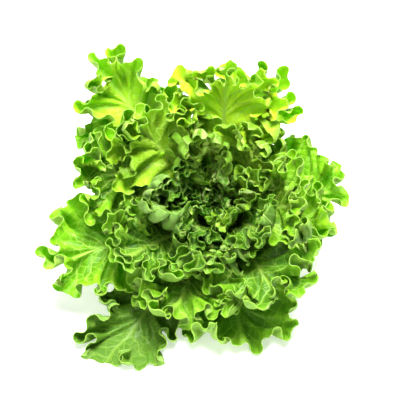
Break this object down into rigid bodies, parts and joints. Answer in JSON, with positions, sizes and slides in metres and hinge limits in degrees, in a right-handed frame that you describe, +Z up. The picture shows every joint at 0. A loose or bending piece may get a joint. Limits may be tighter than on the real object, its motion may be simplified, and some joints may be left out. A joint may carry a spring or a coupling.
{
  "type": "head of lettuce",
  "caption": "Head of curly green leaf lettuce: ruffled leaves in a dense rosette round a short cut stem, lying on its butt and front leaves.",
  "frame": {"origin": "on the surface the head lies on, under the middle of its bounding box", "axes": "+Z up; the crown of the rosette faces -Y and up, the cut stem is at the back, +Y; +X to the right as seen from the crown side"},
  "size_m": [0.297, 0.2912, 0.2192],
  "materials": {
    "leaf_green": "soft waxy gloss, paler along the midrib and the edge",
    "heart_green": "soft waxy gloss, lighter and yellower than the outer leaves",
    "stem_white": "moist matt, browning at the cut"
  },
  "bodies": {
    "root": {"stem": "stem_white", "leaf_01": "leaf_green", "leaf_02": "leaf_green", "leaf_03": "leaf_green", "leaf_04": "leaf_green", "leaf_05": "leaf_green", "leaf_06": "leaf_green", "leaf_07": "leaf_green", "leaf_08": "leaf_green", "leaf_09": "leaf_green", "leaf_10": "leaf_green", "leaf_11": "leaf_green", "leaf_12": "leaf_green", "leaf_13": "leaf_green", "leaf_14": "leaf_green", "leaf_15": "leaf_green", "leaf_16": "leaf_green", "leaf_17": "leaf_green", "leaf_18": "leaf_green", "leaf_19": "leaf_green", "leaf_20": "leaf_green", "leaf_21": "leaf_green", "leaf_22": "heart_green", "leaf_23": "heart_green", "leaf_24": "heart_green", "leaf_25": "heart_green", "leaf_26": "heart_green"}
  },
  "joints": []
}
